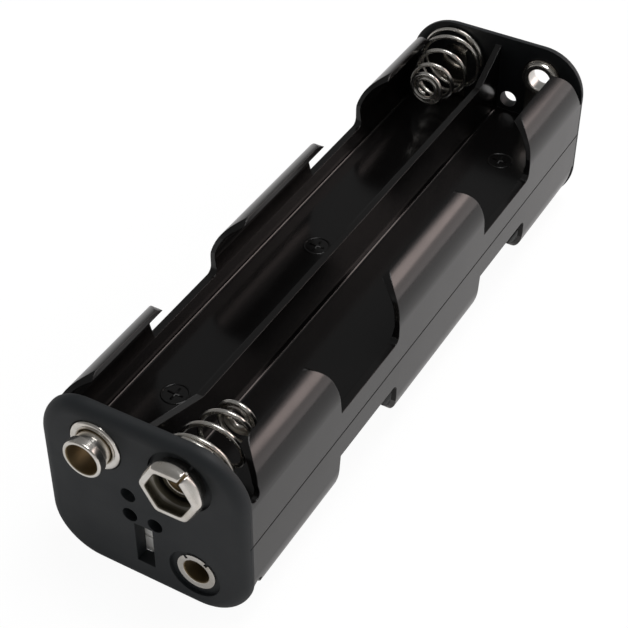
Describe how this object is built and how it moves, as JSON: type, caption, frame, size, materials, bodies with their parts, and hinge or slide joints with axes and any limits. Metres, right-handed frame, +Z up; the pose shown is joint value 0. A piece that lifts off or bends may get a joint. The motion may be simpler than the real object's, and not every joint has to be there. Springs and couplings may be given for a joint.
{
  "type": "battery holder",
  "caption": "Open black plastic holder for round cells lying in line in channels above and below a middle web, with coil spring contacts, curled side clips and snap terminals on one end.",
  "frame": {"origin": "centre of the whole part's footprint, on the surface that it stands on", "axes": "+Y runs along the cells from the snap terminals to the far end, +Z points up from the lower layer of cells to the upper one, and +X points right when the terminals face the viewer"},
  "size_m": [0.0318, 0.1138, 0.0297],
  "materials": {
    "black_plastic": "moulded black plastic, glossy channels and satin end plates",
    "nickel_plate": "nickel plated pressed metal",
    "spring_wire": "nickel plated spring wire",
    "strap_metal": "nickel plated strip"
  },
  "bodies": {
    "root": {"housing": "black_plastic", "male_snap_eyelet": "nickel_plate", "male_snap_washer": "nickel_plate", "female_snap_socket": "nickel_plate", "female_snap_eyelet": "nickel_plate", "lower_terminal_rivet": "nickel_plate", "upper_far_rivet": "nickel_plate", "lower_far_rivet": "nickel_plate", "upper_terminal_spring": "spring_wire", "lower_terminal_spring": "spring_wire", "upper_far_spring": "spring_wire", "lower_far_spring": "spring_wire", "snap_strap": "strap_metal", "terminal_end_strap": "strap_metal", "far_left_strap": "strap_metal", "far_right_strap": "strap_metal"}
  },
  "joints": []
}
